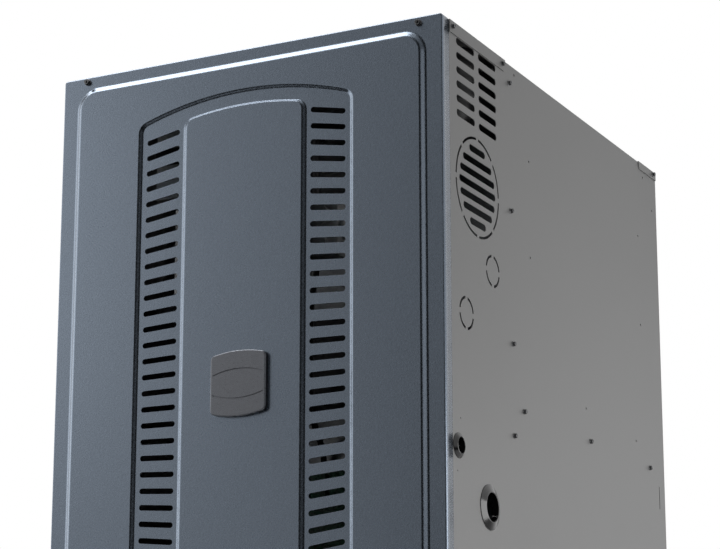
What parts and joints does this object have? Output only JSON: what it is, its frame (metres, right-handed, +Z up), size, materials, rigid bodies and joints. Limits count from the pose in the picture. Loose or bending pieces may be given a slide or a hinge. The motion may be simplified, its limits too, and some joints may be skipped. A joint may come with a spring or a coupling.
{
  "type": "forced air gas furnace",
  "caption": "Upright sheet steel cabinet furnace with a slotted full-height front door, side louvres, burners, heat exchanger, draught inducer and blower inside.",
  "frame": {"origin": "centre of the bounding box's bottom face, on the floor", "axes": "+Z up, the door faces -Y, +X is the side with the open view in the picture"},
  "size_m": [0.5432, 0.7212, 0.8636],
  "materials": {
    "door_paint": "textured powder coat, satin",
    "cabinet_steel": "satin coated sheet steel",
    "galvanised": "spangled galvanised sheet",
    "zinc_screw": "bright zinc",
    "dark_screw": "dark coated",
    "black_plastic": "moulded, satin",
    "gloss_black": "moulded, glossy",
    "badge_plastic": "moulded, satin",
    "white_pipe": "extruded pipe",
    "aluminised": "aluminised steel",
    "foil": "foil-faced fibre blanket",
    "stainless": "stainless steel",
    "brass": "machined",
    "cast_aluminium": "die cast",
    "red_plastic": "moulded",
    "ceramic": "fired ceramic",
    "sight": "clear",
    "motor_paint": "black enamel",
    "fin_metal": "mill",
    "silicone": "soft hose",
    "black_rubber": "soft hose",
    "circuit_board": "solder mask with parts",
    "transformer_iron": "laminated core",
    "capacitor_can": "drawn can",
    "white_plastic": "moulded"
  },
  "bodies": {
    "cabinet": {"left_side_panel": "cabinet_steel", "right_side_panel": "cabinet_steel", "back_panel": "cabinet_steel", "top_cap": "cabinet_steel", "rear_top_rail": "cabinet_steel", "base_frame": "cabinet_steel", "vestibule_panel": "galvanised", "control_tray": "galvanised", "blower_panel": "galvanised", "thumb_screws": "zinc_screw", "blower_deck": "galvanised", "side_liners": "foil", "back_liner": "foil", "casing_screws": "zinc_screw", "small_bushings": "gloss_black", "large_bushings": "gloss_black", "vent_collar": "black_plastic", "intake_collar": "black_plastic", "vent_pipe": "white_pipe", "intake_pipe": "white_pipe", "burner_box": "aluminised", "burner_box_cover": "aluminised", "sight_glass": "sight", "burners": "aluminised", "gas_manifold": "motor_paint", "gas_valve": "cast_aluminium", "igniter": "ceramic", "flame_sensor": "ceramic", "rollout_switches": "black_plastic", "limit_switch": "black_plastic", "primary_tubes": "stainless", "hot_header": "aluminised", "secondary_coil": "fin_metal", "cold_header": "black_plastic", "inducer_housing": "black_plastic", "inducer_motor": "motor_paint", "pressure_switch": "black_plastic", "pressure_tube": "silicone", "condensate_trap": "black_plastic", "drain_hose": "black_rubber", "blower_housing": "galvanised", "blower_motor": "motor_paint", "motor_mount": "galvanised", "control_board": "circuit_board", "transformer": "transformer_iron", "capacitor": "capacitor_can", "junction_box": "galvanised", "door_switch": "black_plastic", "wire_loom": "black_rubber"},
    "front_door": {"front_door": "door_paint", "badge": "badge_plastic", "door_screws": "dark_screw"},
    "gas_valve_knob": {"gas_valve_knob": "red_plastic"},
    "left_reset_button": {"left_reset_button": "red_plastic"},
    "right_reset_button": {"right_reset_button": "red_plastic"},
    "switch_plunger": {"switch_plunger": "white_plastic"},
    "inducer_rotor": {"inducer_wheel": "galvanised", "inducer_shaft": "stainless"},
    "blower_rotor": {"blower_wheel": "galvanised", "blower_shaft": "stainless"}
  },
  "joints": [
    {"name": "door_tilt", "type": "hinge", "parent": "cabinet", "child": "front_door", "pos_m": [0, -0.3506, 0.0303], "axis": [1, 0, 0], "range_deg": [0, 24]},
    {"name": "knob_turn", "type": "hinge", "parent": "cabinet", "child": "gas_valve_knob", "pos_m": [0.041, -0.3196, 0.644], "axis": [0, -1, 0], "range_deg": [0, 90]},
    {"name": "left_reset_press", "type": "slide", "parent": "cabinet", "child": "left_reset_button", "axis": [0, 1, 0], "range_m": [0, 0.002], "stiffness_N_per_m": 400, "springref_m": -0.002},
    {"name": "right_reset_press", "type": "slide", "parent": "cabinet", "child": "right_reset_button", "axis": [0, 1, 0], "range_m": [0, 0.002], "stiffness_N_per_m": 400, "springref_m": -0.002},
    {"name": "plunger_follow", "type": "slide", "parent": "cabinet", "child": "switch_plunger", "axis": [0, -1, 0], "range_m": [0, 0.003]},
    {"name": "inducer_spin", "type": "hinge", "parent": "cabinet", "child": "inducer_rotor", "pos_m": [-0.158, -0.2206, 0.512], "axis": [0, 1, 0], "continuous": true},
    {"name": "blower_spin", "type": "hinge", "parent": "cabinet", "child": "blower_rotor", "pos_m": [0, 0.1044, 0.236], "axis": [1, 0, 0], "continuous": true}
  ],
  "couplings": [
    {"joint": "plunger_follow", "follows": "door_tilt", "m_per_rad": 0.0071}
  ]
}
